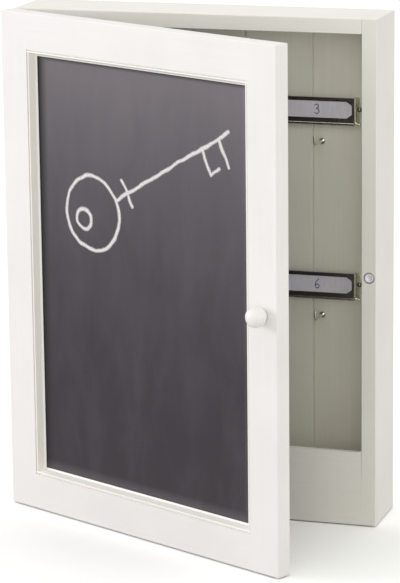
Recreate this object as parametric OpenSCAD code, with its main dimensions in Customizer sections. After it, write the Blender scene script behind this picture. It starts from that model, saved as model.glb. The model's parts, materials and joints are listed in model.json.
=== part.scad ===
// Key cabinet with a chalkboard door. All sizes are millimetres.
// X runs to the right, Y to the back and Z up. The origin is the centre of the carcass underside.

/* [Carcass] */
// Width of the carcass and of the door
body_w = 220; // [204:1:300]
// Height of the carcass and of the door
body_h = 300; // [280:1:420]
// Depth of the carcass without the door
body_d = 42.5; // [38:0.5:80]
// Thickness of the side, top and bottom boards
board_t = 8.8; // [8.4:0.1:12]
// Thickness of the grooved back panel
back_t = 3.6; // [3.4:0.1:6]
// Height of the apron under the opening
apron_h = 44.4; // [25:0.1:70]
// Thickness of the apron
apron_t = 3.2; // [2.6:0.1:6]
// Radius of the fillets at the lower corners of the opening
corner_r = 1.8; // [0.5:0.1:4]
// Distance between two grooves of the back panel
groove_pitch = 41; // [30:1:60]
// Width of a groove at the face of the panel
groove_w = 1.3; // [0.8:0.1:3]
// Depth of a groove
groove_depth = 0.8; // [0.4:0.1:1.4]
// Diameter of the brads that join the boards
brad_d = 1.4; // [1:0.1:2]
// Length of the brads
brad_l = 22; // [16:1:30]
// Head diameter of the brads
brad_head_d = 2.1; // [1.6:0.1:3]
// Head height of the brads
brad_head_h = 0.7; // [0.4:0.1:1.2]
// Depth of filler over the head of a brad
brad_sink = 0.8; // [0.4:0.1:2]
// Distance between the two brads of a joint
brad_gap = 16; // [10:1:20]

/* [Door] */
// Angle at which the door stands open
door_open = 26.8; // [0:0.2:180]
// Thickness of the door frame
door_t = 9.5; // [9:0.1:14]
// Gap between the closed door and the carcass
door_gap = 0.6; // [0.4:0.1:1.2]
// Width of the flat face of the stiles and rails
frame_w = 21.4; // [18:0.1:36]
// Depth from the face of the frame to the face of the chalkboard
board_recess = 5.8; // [5:0.1:6.2]
// Thickness of the chalkboard
chalk_t = 3; // [2:0.1:3.2]
// Width of the rebate that the edge of the chalkboard lies in
rebate_w = 5; // [3:0.1:7]
// Gap between the edge of the chalkboard and its rebate
chalk_play = 0.3; // [0.1:0.1:0.8]
// Width of the moulding strip
mould_w = 3.9; // [3.4:0.1:6]
// Width of the groove between the frame and the bead of the moulding
quirk_w = 0.7; // [0.4:0.1:1.2]
// Depth of that groove
quirk_depth = 1.2; // [0.8:0.1:2]
// Radius of the round bead of the moulding
bead_r = 0.55; // [0.3:0.05:0.6]
// Depth of the bead's centre under the face of the frame
bead_depth = 0.7; // [0.6:0.1:0.8]
// Diameter of the dowels in the corners of the door frame
dowel_d = 4; // [3:0.1:5]
// Length of the dowels
dowel_l = 16; // [10:1:24]
// Width of the flat points that hold the chalkboard
point_w = 5; // [3:0.5:8]
// Length of the flat points
point_l = 8; // [6:0.5:12]
// Thickness of the flat points
point_t = 0.5; // [0.3:0.1:0.6]

/* [Hinges] */
// Height of a hinge
hinge_l = 25; // [20:1:40]
// Distance from the top or the bottom to the middle of a hinge
hinge_inset = 45; // [30:1:80]
// Width of a leaf on its board
leaf_w = 7.5; // [7:0.1:8.2]
// Thickness of a leaf
leaf_t = 0.8; // [0.6:0.1:1.1]
// Diameter of the barrel
barrel_d = 3.2; // [2.8:0.1:4]
// Diameter of the hinge pin
pin_d = 1.6; // [1.2:0.1:1.8]
// Radial play of the pin in the door's knuckle
pin_play = 0.05; // [0.02:0.01:0.1]
// Distance of the hinge pin from the side face of the cabinet
axis_out = 1.3; // [1.2:0.1:2]
// Height of the door's knuckle
knuckle_l = 9; // [6:0.5:14]
// Gap between two knuckles
knuckle_gap = 0.2; // [0.1:0.05:0.5]
// Diameter of the hinge screws
hinge_screw_d = 2; // [1.6:0.1:2.4]
// Head diameter of the hinge screws
hinge_head_d = 3.6; // [3:0.1:4.2]
// Length of the hinge screws
hinge_screw_l = 7; // [5:0.5:8]
// Distance between the two screws of a leaf
hinge_screw_gap = 14; // [10:0.5:16]

/* [Knob and catch] */
// Distance from the edge of the door to the middle of the knob
knob_inset = 10.8; // [10.5:0.1:12]
// Distance of the knob and of the magnet below the middle of the door
knob_drop = 0.6; // [0:0.1:5]
// Diameter of the knob
knob_d = 11.5; // [11:0.1:18]
// Height of the knob's neck
knob_neck = 2.4; // [2:0.1:5]
// Diameter of the knob's neck
neck_d = 7.6; // [5:0.1:8]
// Height from the back of the knob's head to its dome
knob_belt = 4.1; // [3:0.1:8]
// Height of the dome
knob_dome = 4.5; // [2:0.1:7]
// Diameter of the knob screw
knob_screw_d = 3; // [2.5:0.1:3.5]
// Head diameter of the knob screw
knob_head_d = 5; // [4.6:0.1:5.6]
// Depth of the screw in the knob
knob_screw_in = 5.5; // [3:0.5:7]
// Distance from the side face of the cabinet to the middle of the magnet
catch_inset = 4.3; // [4.2:0.1:4.6]
// Outer diameter of the magnet's steel cup
cup_d = 6.9; // [6:0.1:7.4]
// Depth of the cup
cup_depth = 3.6; // [2.5:0.1:8]
// Wall of the cup
cup_wall = 0.4; // [0.3:0.05:0.6]
// Thickness of the cup's floor
cup_floor = 0.6; // [0.4:0.1:1]
// Diameter of the magnet
magnet_d = 5.4; // [4:0.1:5.6]
// Diameter of the steel tack that meets the magnet
tack_d = 6.4; // [5:0.1:6.8]
// Thickness of the tack's head
tack_t = 1; // [0.6:0.1:1.5]
// Diameter of the tack's shank
tack_pin_d = 1.6; // [1:0.1:2]
// Length of the tack's shank
tack_pin_l = 5; // [3:0.5:7]

/* [Hooks] */
// Distance from an outer hook to the side board
hook_margin = 33.9; // [20:0.1:50]
// Distance between the rows of hooks and of labels
row_pitch = 105; // [60:1:120]
// Distance from the top of the cabinet to the middle of the upper labels
label_drop = 58.9; // [40:0.1:90]
// Distance from the middle of a label down to its hook
hook_drop = 19.5; // [14:0.1:30]
// Diameter of the hook wire
wire_d = 1.9; // [1.4:0.1:2.6]
// Reach of a hook from the back panel
hook_reach = 17; // [12:0.5:26]
// Angle at which the hooks point upwards
hook_tilt = 2.5; // [0:0.5:12]
// Rise of the hook's upright over its shank
hook_rise = 4.4; // [4:0.1:9]
// Radius of the bend at the wire's centre
hook_bend = 1.8; // [1.5:0.1:3]
// Depth of the screwed end of the hook in the back panel
hook_root = 3; // [2:0.1:3.2]
// Diameter of the collar against the back panel
collar_d = 3.6; // [3:0.1:5]
// Thickness of the collar
collar_t = 0.7; // [0.4:0.1:1.2]

/* [Label holders] */
// Distance from an outer label holder to the side board
label_margin = 9.2; // [4:0.1:12]
// Width of the raised face of a holder
face_w = 46; // [36:0.1:46]
// Height of the face
face_h = 14.3; // [12:0.1:20]
// Width of the window
window_w = 42.4; // [34:0.1:42.8]
// Height of the window
window_h = 9.9; // [8:0.1:11.5]
// Width of the cut corners of the window
window_cut_w = 3.2; // [1:0.1:5]
// Height of the cut corners of the window
window_cut_h = 2.2; // [1:0.1:4]
// Thickness of the sheet metal
sheet_t = 0.5; // [0.4:0.1:0.7]
// Height of the face over the back panel
stand_off = 4; // [3.4:0.1:6]
// Diameter of the rolled lower edge
roll_d = 2.2; // [1.6:0.1:2.6]
// Diameter of the wire rim at both ends of the face
rim_d = 1.3; // [1:0.1:1.4]
// Radius of the rim's bend into its foot
rim_bend = 2; // [1.5:0.1:2.4]
// Length of the rim's foot beyond the face
rim_foot = 3.4; // [3.2:0.1:3.6]
// Length of the ears beyond the face
ear_l = 4; // [3.8:0.1:8]
// Bulge of the curved end of an ear
ear_bow = 2; // [0.5:0.1:4]
// Height of the flange that holds the card
flange_h = 2; // [1:0.1:3]
// Width of the slot for the card
slot_w = 0.6; // [0.5:0.1:0.9]
// Thickness of a card
card_t = 0.4; // [0.2:0.05:0.45]
// Height of a card
card_h = 13.4; // [11:0.1:14.5]
// Gap at each end of a card
card_play = 0.6; // [0.5:0.1:1]
// Head diameter of the nails in the ears
nail_head_d = 3; // [2.4:0.1:3.2]
// Height of the nail heads
nail_head_h = 1.1; // [0.6:0.1:1.6]
// Shank diameter of the nails
nail_d = 1.4; // [1:0.1:1.8]
// Distance of a nail from the end of the face
nail_inset = 2; // [2:0.1:2.4]
// Depth of a nail in the back panel
nail_root = 2.6; // [2:0.1:3]

/* [Wall hangers] */
// Distance from the top down to the middle of the keyholes
hanger_drop = 28; // [26:1:60]
// Width of a hanger plate
hanger_w = 7.6; // [7.2:0.1:8]
// Height of a hanger plate
hanger_h = 36; // [32:1:44]
// Thickness of a hanger plate
hanger_t = 1; // [0.8:0.1:1.5]
// Radius of the keyhole's round hole
key_r = 3; // [2.6:0.1:3.2]
// Width of the keyhole's slot
key_slot_w = 3.2; // [2.6:0.1:4]
// Length of the slot from the middle of the round hole
key_slot_l = 7; // [5:0.5:8]
// Depth of the pocket behind the plate
pocket_depth = 6; // [4:0.5:10]
// Room of the pocket round the keyhole
pocket_room = 0.3; // [0.1:0.1:0.5]
// Diameter of the hanger screws
hanger_screw_d = 2.2; // [1.8:0.1:2.6]
// Head diameter of the hanger screws
hanger_head_d = 4; // [3.4:0.1:4.6]
// Length of the hanger screws
hanger_screw_l = 12; // [8:1:16]
// Distance of a hanger screw from the end of its plate
hanger_screw_inset = 3.5; // [3:0.1:5]

/* [Hidden] */
$fn = 48;
paint = "#ecebe8";
inside_paint = "#d6d4ce";
steel = "#c9cacb";
dark_steel = "#4b4846";
plain_steel = "#8f8f8f";
slate = "#46444a";
paper = "#cfccd6";
beech = "#d8b98a";

columns = 3;
front_y = -body_d / 2;
back_y = body_d / 2;
panel_y = back_y - back_t;
inner_w = body_w - 2 * board_t;
inner_h = body_h - 2 * board_t;
side_x = body_w / 2 - board_t / 2;
middle_z = body_h / 2;
latch_z = middle_z - knob_drop;

// The door is drawn closed and turned open about the hinge pins
axis_x = -body_w / 2 - axis_out;
axis_y = front_y - door_gap / 2;
door_back_y = front_y - door_gap;
door_front_y = door_back_y - door_t;
opening_w = body_w - 2 * frame_w;
opening_h = body_h - 2 * frame_w;
pocket_w = opening_w + 2 * rebate_w;
pocket_h = opening_h + 2 * rebate_w;
chalk_y = door_front_y + board_recess;
hinge_z = [hinge_inset, body_h - hinge_inset];
barrel_room = 0.4;
leaf_room = 0.1;
pin_head_d = 2.4;
pin_head_h = 0.5;
leaf_free_x = axis_x + barrel_d / 2 + barrel_room;
leaf_root_x = axis_x + pin_d / 2 + pin_play;
leaf_end_x = -body_w / 2 + leaf_w;
leaf_screw_x = (leaf_free_x + leaf_end_x) / 2;
knob_x = body_w / 2 - knob_inset;
catch_x = body_w / 2 - catch_inset;
// A cut reaches this far past the face that it opens
cut = 0.01;

function column_of(i) = i % columns - (columns - 1) / 2;
function row_of(i) = floor(i / columns);
function label_x(i) = column_of(i) * (inner_w / 2 - label_margin - ear_l - face_w / 2);
function hook_x(i) = column_of(i) * (inner_w / 2 - hook_margin);
function label_z(i) = body_h - label_drop - row_of(i) * row_pitch;
function hook_z(i) = label_z(i) - hook_drop;
// Points on an arc, as [across, up]
function arc(centre, r, from, to, steps) =
  [for (k = [0:steps]) let (a = from + (to - from) * k / steps) centre + r * [cos(a), sin(a)]];

module on_door() {
  translate([axis_x, axis_y, 0]) rotate([0, 0, -door_open]) translate([-axis_x, -axis_y, 0]) children();
}

module box(low, high) {
  translate(low) cube(high - low);
}

// A flat shape in X and Z, given its thickness from y towards the front
module upright_plate(y, thickness) {
  translate([0, y, 0]) rotate([90, 0, 0]) linear_extrude(thickness) children();
}

// The cross recess of a screw, as shares of its head
recess_width = 0.16;
recess_length = 0.62;
recess_depth = 0.6;

// A countersunk screw along -Z, with the top of its head at the origin
module countersunk_screw(d, head_d, length) {
  head_h = (head_d - d) / 2;
  recess_w = head_d * recess_width;
  recess_l = head_d * recess_length;
  recess_h = head_h * recess_depth;
  difference() {
    union() {
      translate([0, 0, -head_h]) cylinder(h = head_h, d1 = d, d2 = head_d);
      translate([0, 0, -length]) cylinder(h = length - head_h, d = d);
    }
    for (turn = [45, 135])
      rotate([0, 0, turn])
        box([-recess_l / 2, -recess_w / 2, -recess_h], [recess_l / 2, recess_w / 2, cut]);
  }
}

// The room that a countersunk screw takes, open above its head
module countersunk_room(d, head_d, length) {
  head_h = (head_d - d) / 2;
  cylinder(h = cut, d = head_d);
  translate([0, 0, -head_h]) cylinder(h = head_h, d1 = d, d2 = head_d);
  translate([0, 0, -length]) cylinder(h = length, d = d);
}

// Places of the brads at one side, as Y and Z. The apron is glued
brad_places = [
  for (step = [-1, 1] * brad_gap / 2, z = [board_t / 2, body_h - board_t / 2]) [apron_t / 2 + step, z]
];

module at_brads() {
  for (side = [-1, 1], place = brad_places)
    translate([side * (body_w / 2 - brad_sink), place[0], place[1]])
      rotate([0, -side * 90, 0]) children();
}

module brad() {
  cylinder(h = brad_head_h, d = brad_head_d);
  cylinder(h = brad_l, d = brad_d);
}

module carcass_brads() {
  color(plain_steel) at_brads() brad();
}

// Room of the keyhole, its slot and the screw head behind it
module keyhole_room(r, slot_r, depth) {
  rotate([90, 0, 0]) {
    cylinder(h = depth, r = r);
    translate([0, key_slot_l, 0]) cylinder(h = depth, r = slot_r);
    translate([-slot_r, 0, 0]) cube([2 * slot_r, key_slot_l, depth]);
  }
}

module at_hanger(side) {
  translate([side * side_x, back_y, body_h - hanger_drop]) children();
}

hanger_low = -hanger_h / 2 + key_slot_l / 2;
hanger_screw_z = [hanger_low + hanger_screw_inset, hanger_low + hanger_h - hanger_screw_inset];

module at_hanger_screws() {
  for (z = hanger_screw_z)
    translate([0, 0, z]) rotate([-90, 0, 0]) children();
}

module hanger(side) {
  color(steel)
    at_hanger(side)
      difference() {
        box([-hanger_w / 2, -hanger_t, hanger_low], [hanger_w / 2, 0, hanger_low + hanger_h]);
        translate([0, cut, 0]) keyhole_room(key_r, key_slot_w / 2, hanger_t + 2 * cut);
        at_hanger_screws() countersunk_room(hanger_screw_d, hanger_head_d, hanger_screw_l);
      }
}

module hanger_screws() {
  color(steel)
    for (side = [-1, 1])
      at_hanger(side) at_hanger_screws() countersunk_screw(hanger_screw_d, hanger_head_d, hanger_screw_l);
}

// What the hanger cuts out of a side board
module hanger_room(side) {
  pocket_r = key_r + pocket_room;
  at_hanger(side) {
    box([-hanger_w / 2, -hanger_t, hanger_low], [hanger_w / 2, cut, hanger_low + hanger_h]);
    keyhole_room(pocket_r, pocket_r, pocket_depth);
    at_hanger_screws() countersunk_room(hanger_screw_d, hanger_head_d, hanger_screw_l);
  }
}

// Room round the barrel of a hinge, in the corner of the board beside it
module barrel_space() {
  room_l = hinge_l / 2 + pin_head_h + barrel_room;
  for (z = hinge_z)
    translate([axis_x, axis_y, z - room_l])
      cylinder(h = 2 * room_l, d = barrel_d + 2 * barrel_room);
}

module at_hinge_screws() {
  for (z = hinge_z, step = [-1, 1])
    translate([leaf_screw_x, front_y, z + step * hinge_screw_gap / 2]) children();
}

// Cuts of the two hinges in the left side board
module body_hinge_room() {
  barrel_space();
  for (z = hinge_z)
    box([-body_w / 2 - cut, front_y - cut, z - hinge_l / 2 - leaf_room],
        [leaf_end_x + leaf_room, front_y + leaf_t, z + hinge_l / 2 + leaf_room]);
  at_hinge_screws() rotate([90, 0, 0]) countersunk_room(hinge_screw_d, hinge_head_d, hinge_screw_l);
}

// Cuts of the two hinges in the back of the left stile
module door_hinge_room() {
  barrel_space();
  for (z = hinge_z)
    box([-body_w / 2 - cut, door_back_y - leaf_t, z - hinge_l / 2 - leaf_room],
        [leaf_end_x + leaf_room, door_back_y + cut, z + hinge_l / 2 + leaf_room]);
  at_hinge_screws()
    translate([0, -door_gap, 0]) rotate([-90, 0, 0])
      countersunk_room(hinge_screw_d, hinge_head_d, hinge_screw_l);
}

// One knuckle of the barrel, from one height to another
module knuckle(low, high, bore_d) {
  translate([axis_x, axis_y, low])
    difference() {
      cylinder(h = high - low, d = barrel_d);
      translate([0, 0, -cut]) cylinder(h = high - low + 2 * cut, d = bore_d);
    }
}

// A strip of leaf from the barrel to the inner edge of the leaf
module leaf_strip(y, low, high, from_x) {
  box([from_x, y, low], [leaf_end_x, y + leaf_t, high]);
}

module body_leaf(z) {
  half = hinge_l / 2;
  split = knuckle_l / 2 + knuckle_gap;
  color(steel)
    difference() {
      union() {
        leaf_strip(front_y, z - half, z + half, leaf_free_x);
        for (part = [[z - half, z - split], [z + split, z + half]]) {
          leaf_strip(front_y, part[0], part[1], leaf_root_x);
          knuckle(part[0], part[1], pin_d);
        }
      }
      translate([axis_x, axis_y, z - half - cut]) cylinder(h = hinge_l + 2 * cut, d = pin_d);
      at_hinge_screws() rotate([90, 0, 0]) countersunk_room(hinge_screw_d, hinge_head_d, hinge_screw_l);
    }
}

module door_leaf(z) {
  half = hinge_l / 2;
  reach = knuckle_l / 2;
  bore_d = pin_d + 2 * pin_play;
  color(steel)
    on_door()
      difference() {
        union() {
          leaf_strip(door_back_y - leaf_t, z - half, z + half, leaf_free_x);
          leaf_strip(door_back_y - leaf_t, z - reach, z + reach, leaf_root_x);
          knuckle(z - reach, z + reach, bore_d);
        }
        translate([axis_x, axis_y, z - half]) cylinder(h = hinge_l, d = bore_d);
        at_hinge_screws()
          translate([0, -door_gap, 0]) rotate([-90, 0, 0])
            countersunk_room(hinge_screw_d, hinge_head_d, hinge_screw_l);
      }
}

module hinge_pin(z) {
  color(steel)
    translate([axis_x, axis_y, z]) {
      translate([0, 0, -hinge_l / 2]) cylinder(h = hinge_l, d = pin_d);
      for (low = [-hinge_l / 2 - pin_head_h, hinge_l / 2])
        translate([0, 0, low]) cylinder(h = pin_head_h, d = pin_head_d);
    }
}

module hinge_body_screws() {
  color(steel)
    at_hinge_screws() rotate([90, 0, 0]) countersunk_screw(hinge_screw_d, hinge_head_d, hinge_screw_l);
}

module hinge_door_screws() {
  color(steel)
    on_door()
      at_hinge_screws()
        translate([0, -door_gap, 0]) rotate([-90, 0, 0])
          countersunk_screw(hinge_screw_d, hinge_head_d, hinge_screw_l);
}

module side_board(side) {
  low_x = side < 0 ? -body_w / 2 : body_w / 2 - board_t;
  box([low_x, front_y, 0], [low_x + board_t, back_y, body_h]);
}

module side_left() {
  color(paint)
    difference() {
      side_board(-1);
      at_brads() brad();
      hanger_room(-1);
      body_hinge_room();
    }
}

module side_right() {
  color(paint)
    difference() {
      side_board(1);
      at_brads() brad();
      hanger_room(1);
      translate([catch_x, front_y - cut, latch_z])
        rotate([-90, 0, 0]) cylinder(h = cup_depth + cut, d = cup_d);
    }
}

module top_board() {
  color(paint)
    difference() {
      box([-inner_w / 2, front_y, body_h - board_t], [inner_w / 2, back_y, body_h]);
      at_brads() brad();
    }
}

module bottom_board() {
  color(inside_paint)
    difference() {
      box([-inner_w / 2, front_y + apron_t, 0], [inner_w / 2, back_y, board_t]);
      at_brads() brad();
    }
}

// The apron rises in a small fillet against each side board
module front_apron() {
  color(paint)
    upright_plate(front_y + apron_t, apron_t)
      difference() {
        translate([-inner_w / 2, 0]) square([inner_w, apron_h + corner_r]);
        translate([-inner_w / 2 + corner_r, apron_h]) square([inner_w - 2 * corner_r, corner_r + cut]);
        for (side = [-1, 1])
          translate([side * (inner_w / 2 - corner_r), apron_h + corner_r]) circle(corner_r);
      }
}

grooves_each_way = floor((inner_w / 2 - groove_w) / groove_pitch + 0.5);

module back_panel() {
  color(inside_paint)
    difference() {
      box([-inner_w / 2, panel_y, board_t], [inner_w / 2, back_y, body_h - board_t]);
      for (side = [-1, 1], k = [1:grooves_each_way])
        translate([side * (k - 0.5) * groove_pitch, panel_y, board_t - cut])
          linear_extrude(inner_h + 2 * cut)
            polygon([[-groove_w / 2, -cut], [groove_w / 2, -cut], [0, groove_depth]]);
      for (i = [0:5]) {
        at_hook(i) hook_thread();
        at_label_nails(i) nail_shank();
      }
    }
}

module at_hook(i) {
  translate([hook_x(i), panel_y, hook_z(i)]) children();
}

module hook_thread() {
  rotate([-90, 0, 0]) cylinder(h = hook_root, d = wire_d);
}

// The wire in front of the collar: shank, bend and upright with a round tip
module hook_wire(reach) {
  straight = reach - hook_bend;
  rotate([90, 0, 0]) cylinder(h = straight, d = wire_d);
  translate([0, -straight, hook_bend])
    rotate([-90, 0, -90]) rotate_extrude(angle = 90) translate([hook_bend, 0]) circle(d = wire_d);
  translate([0, -reach, hook_bend]) cylinder(h = hook_rise - hook_bend, d = wire_d);
  translate([0, -reach, hook_rise]) sphere(d = wire_d);
}

// The shank starts inside the collar, where it turns upwards
module key_hook(i) {
  color(steel)
    at_hook(i) {
      hook_thread();
      rotate([90, 0, 0]) cylinder(h = collar_t, d = collar_d);
      translate([0, -collar_t / 2, 0]) rotate([-hook_tilt, 0, 0]) hook_wire(hook_reach - collar_t / 2);
    }
}

module at_label(i) {
  translate([label_x(i), panel_y, label_z(i)]) children();
}

module at_label_nails(i) {
  at_label(i)
    for (side = [-1, 1])
      translate([side * (face_w / 2 + nail_inset), 0, 0]) children();
}

module nail_shank() {
  rotate([-90, 0, 0]) cylinder(h = nail_root, d = nail_d);
}

// A round-headed nail through an ear of the holder
module label_nail() {
  dome_r = (pow(nail_head_d / 2, 2) + pow(nail_head_h, 2)) / (2 * nail_head_h);
  nail_shank();
  rotate([90, 0, 0]) cylinder(h = sheet_t, d = nail_d);
  translate([0, -sheet_t, 0])
    rotate([90, 0, 0])
      intersection() {
        translate([0, 0, nail_head_h - dome_r]) sphere(dome_r);
        cylinder(h = nail_head_h + cut, d = nail_head_d);
      }
}

module label_nails() {
  color(steel)
    for (i = [0:5])
      at_label_nails(i) label_nail();
}

holder_low = -face_h / 2 - roll_d;
ear_h = face_h / 2 - holder_low;
ear_r = (pow(ear_bow, 2) + pow(ear_h / 2, 2)) / (2 * ear_bow);

// Outline of the window: a rectangle with cut corners
module window_outline() {
  w = window_w / 2;
  h = window_h / 2;
  polygon([
    [w, h - window_cut_h], [w - window_cut_w, h], [window_cut_w - w, h], [-w, h - window_cut_h],
    [-w, window_cut_h - h], [window_cut_w - w, -h], [w - window_cut_w, -h], [w, window_cut_h - h]
  ]);
}

// The right ear: a plate with a bulging end
module ear_outline() {
  intersection() {
    translate([face_w / 2 + ear_l - ear_r, holder_low + ear_h / 2]) circle(ear_r, $fn = 96);
    translate([face_w / 2 - sheet_t, holder_low]) square([ear_l + sheet_t, ear_h]);
  }
}

// The right rim: a wire down the corner of the end wall, bent outwards into a foot with a round tip
module end_rim() {
  foot_z = holder_low + roll_d / 2;
  turn_z = foot_z + rim_bend;
  straight = rim_foot - rim_bend - rim_d / 2;
  translate([face_w / 2, rim_d / 2 - stand_off, 0]) {
    translate([0, 0, turn_z]) cylinder(h = face_h / 2 - turn_z, d = rim_d);
    translate([rim_bend, 0, turn_z])
      rotate([90, 0, 0]) rotate([0, 0, 180])
        rotate_extrude(angle = 90) translate([rim_bend, 0]) circle(d = rim_d);
    translate([rim_bend, 0, foot_z]) rotate([0, 90, 0]) cylinder(h = straight, d = rim_d);
    translate([rim_bend + straight, 0, foot_z]) sphere(d = rim_d);
  }
}

module label_holder(i) {
  floor_z = -face_h / 2;
  flange_back = stand_off - 2 * sheet_t - slot_w;
  plate_w = face_w - 0.6 * rim_d;
  color(dark_steel)
    at_label(i)
      difference() {
        union() {
          upright_plate(sheet_t - stand_off, sheet_t)
            difference() {
              square([plate_w, face_h], center = true);
              window_outline();
            }
          for (side = [0, 1])
            mirror([side, 0, 0]) {
              box([face_w / 2 - sheet_t, rim_d / 2 - stand_off, floor_z - sheet_t], [face_w / 2, 0, face_h / 2]);
              upright_plate(0, sheet_t) ear_outline();
              end_rim();
            }
          box([-plate_w / 2, -stand_off, floor_z - sheet_t], [plate_w / 2, -flange_back, floor_z]);
          box([-face_w / 2 + sheet_t / 2, -flange_back - sheet_t, floor_z - sheet_t],
              [face_w / 2 - sheet_t / 2, -flange_back, floor_z + flange_h]);
          translate([-plate_w / 2, -stand_off + roll_d / 2, holder_low + roll_d / 2])
            rotate([0, 90, 0]) cylinder(h = plate_w, d = roll_d);
        }
        for (side = [-1, 1])
          translate([side * (face_w / 2 + nail_inset), cut, 0])
            rotate([90, 0, 0]) cylinder(h = sheet_t + 2 * cut, d = nail_d);
      }
}

module label_card(i) {
  half_w = face_w / 2 - sheet_t - card_play;
  card_y = -stand_off + sheet_t + (slot_w - card_t) / 2;
  color(paper)
    at_label(i)
      box([-half_w, card_y, -face_h / 2], [half_w, card_y + card_t, card_h - face_h / 2]);
}

module magnet_cup() {
  color(plain_steel)
    translate([catch_x, front_y, latch_z])
      rotate([-90, 0, 0])
        difference() {
          cylinder(h = cup_depth, d = cup_d);
          translate([0, 0, -cut]) cylinder(h = cup_depth - cup_floor + cut, d = cup_d - 2 * cup_wall);
        }
}

module magnet() {
  color(steel)
    translate([catch_x, front_y, latch_z])
      rotate([-90, 0, 0]) cylinder(h = cup_depth - cup_floor, d = magnet_d);
}

// What is sunk into the door: board rebate, points, dowels, hinges, knob screw and tack
module door_room() {
  box([-pocket_w / 2, chalk_y, middle_z - pocket_h / 2],
      [pocket_w / 2, door_back_y + cut, middle_z + pocket_h / 2]);
  at_points() point();
  at_dowels() dowel();
  door_hinge_room();
  at_knob() knob_screw_room();
  at_tack() tack_room();
}

module at_points() {
  y = chalk_y + chalk_t;
  for (side = [-1, 1], step = [-1, 1]) {
    translate([side * pocket_w / 2, y, middle_z + step * opening_h / 4]) children();
    translate([step * opening_w / 4, y, middle_z + side * pocket_h / 2]) rotate([0, 90, 0]) children();
  }
}

module point() {
  box([-point_l / 2, 0, -point_w / 2], [point_l / 2, point_t, point_w / 2]);
}

module board_points() {
  color(plain_steel) on_door() at_points() point();
}

dowel_room = 1.5;

module at_dowels() {
  sound_w = frame_w - rebate_w;
  for (side = [-1, 1], end = [-1, 1], place = [0, 1])
    translate([
      side * opening_w / 2,
      door_front_y + door_t / 2,
      middle_z + end * (body_h / 2 - dowel_d / 2 - dowel_room - place * (sound_w - dowel_d - 2 * dowel_room))
    ])
      children();
}

module dowel() {
  translate([-dowel_l / 2, 0, 0]) rotate([0, 90, 0]) cylinder(h = dowel_l, d = dowel_d);
}

module door_dowels() {
  color(beech) on_door() at_dowels() dowel();
}

module door_stile(side) {
  low_x = side < 0 ? -body_w / 2 : body_w / 2 - frame_w;
  color(paint)
    on_door()
      difference() {
        box([low_x, door_front_y, 0], [low_x + frame_w, door_back_y, body_h]);
        door_room();
      }
}

module door_rail(end) {
  low_z = end < 0 ? 0 : body_h - frame_w;
  color(paint)
    on_door()
      difference() {
        box([-opening_w / 2, door_front_y, low_z], [opening_w / 2, door_back_y, low_z + frame_w]);
        door_room();
      }
}

// Section of the moulding as [distance from the frame, depth from the front face]:
// groove, round bead, steep slope, small step and a lip that stands clear of the board
bead_centre = [quirk_w + bead_r, bead_depth];
lip_w = 1;
lip_rise = 1.7;
lip_step = 0.35;
lip_round = 0.3;
lip_gap = 0.5;
moulding_section = concat(
  [[0, board_recess], [0, quirk_depth], [quirk_w, quirk_depth]],
  arc(bead_centre, bead_r, 180, 340, 8),
  [
    [mould_w - lip_w, board_recess - lip_rise],
    [mould_w - lip_w + lip_round / 3, board_recess - lip_rise + lip_step],
    [mould_w - lip_round, board_recess - lip_gap - 2 * lip_round],
    [mould_w, board_recess - lip_gap - lip_round],
    [mould_w, board_recess - lip_gap],
    [mould_w - lip_w - lip_gap, board_recess - lip_gap],
    [mould_w - lip_w - 2 * lip_gap, board_recess]
  ]
);

// One strip under the upper edge of an opening, mitred at both ends
module moulding_strip(length) {
  intersection() {
    rotate([90, 0, 90]) translate([0, 0, -length / 2]) linear_extrude(length)
      polygon([for (p = moulding_section) [p[1], -p[0]]]);
    upright_plate(board_recess, board_recess)
      polygon([
        [-length / 2, 0], [length / 2, 0],
        [length / 2 - mould_w, -mould_w], [mould_w - length / 2, -mould_w]
      ]);
  }
}

module at_moulding(turn, reach) {
  color(paint)
    on_door()
      translate([0, door_front_y, middle_z]) rotate([0, turn, 0]) translate([0, 0, reach]) children();
}

// The chalkboard lies in the rebate behind the moulding
module chalkboard() {
  w = pocket_w / 2 - chalk_play;
  h = pocket_h / 2 - chalk_play;
  color(slate)
    on_door()
      box([-w, chalk_y, middle_z - h], [w, chalk_y + chalk_t, middle_z + h]);
}

module at_knob() {
  translate([knob_x, door_front_y, latch_z]) rotate([90, 0, 0]) children();
}

module knob_screw_room() {
  translate([0, 0, -door_t]) mirror([0, 0, 1])
    countersunk_room(knob_screw_d, knob_head_d, door_t + knob_screw_in);
}

// Half section of the knob as [radius, height over the stile]: neck, round back edge and dome
edge_r = 1.3;
dome_z = knob_neck + knob_belt;
knob_section = concat(
  [[0, 0], [neck_d / 2, 0], [neck_d / 2, knob_neck]],
  arc([knob_d / 2 - edge_r, knob_neck + edge_r], edge_r, -90, 0, 8),
  [for (a = [0:5:90]) [knob_d / 2 * cos(a), dome_z + knob_dome * sin(a)]]
);

module knob() {
  color(paint)
    on_door()
      at_knob()
        difference() {
          rotate_extrude() polygon(knob_section);
          translate([0, 0, -cut]) cylinder(h = knob_screw_in + cut, d = knob_screw_d);
        }
}

module knob_screw() {
  color(steel)
    on_door()
      at_knob()
        translate([0, 0, -door_t]) mirror([0, 0, 1])
          countersunk_screw(knob_screw_d, knob_head_d, door_t + knob_screw_in);
}

module at_tack() {
  translate([catch_x, door_back_y, latch_z]) rotate([90, 0, 0]) children();
}

module tack() {
  cylinder(h = tack_t, d = tack_d);
  cylinder(h = tack_t + tack_pin_l, d = tack_pin_d);
}

module tack_room() {
  tack();
  translate([0, 0, -cut]) cylinder(h = 2 * cut, d = tack_d);
}

module strike_tack() {
  color(plain_steel) on_door() at_tack() tack();
}

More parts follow.
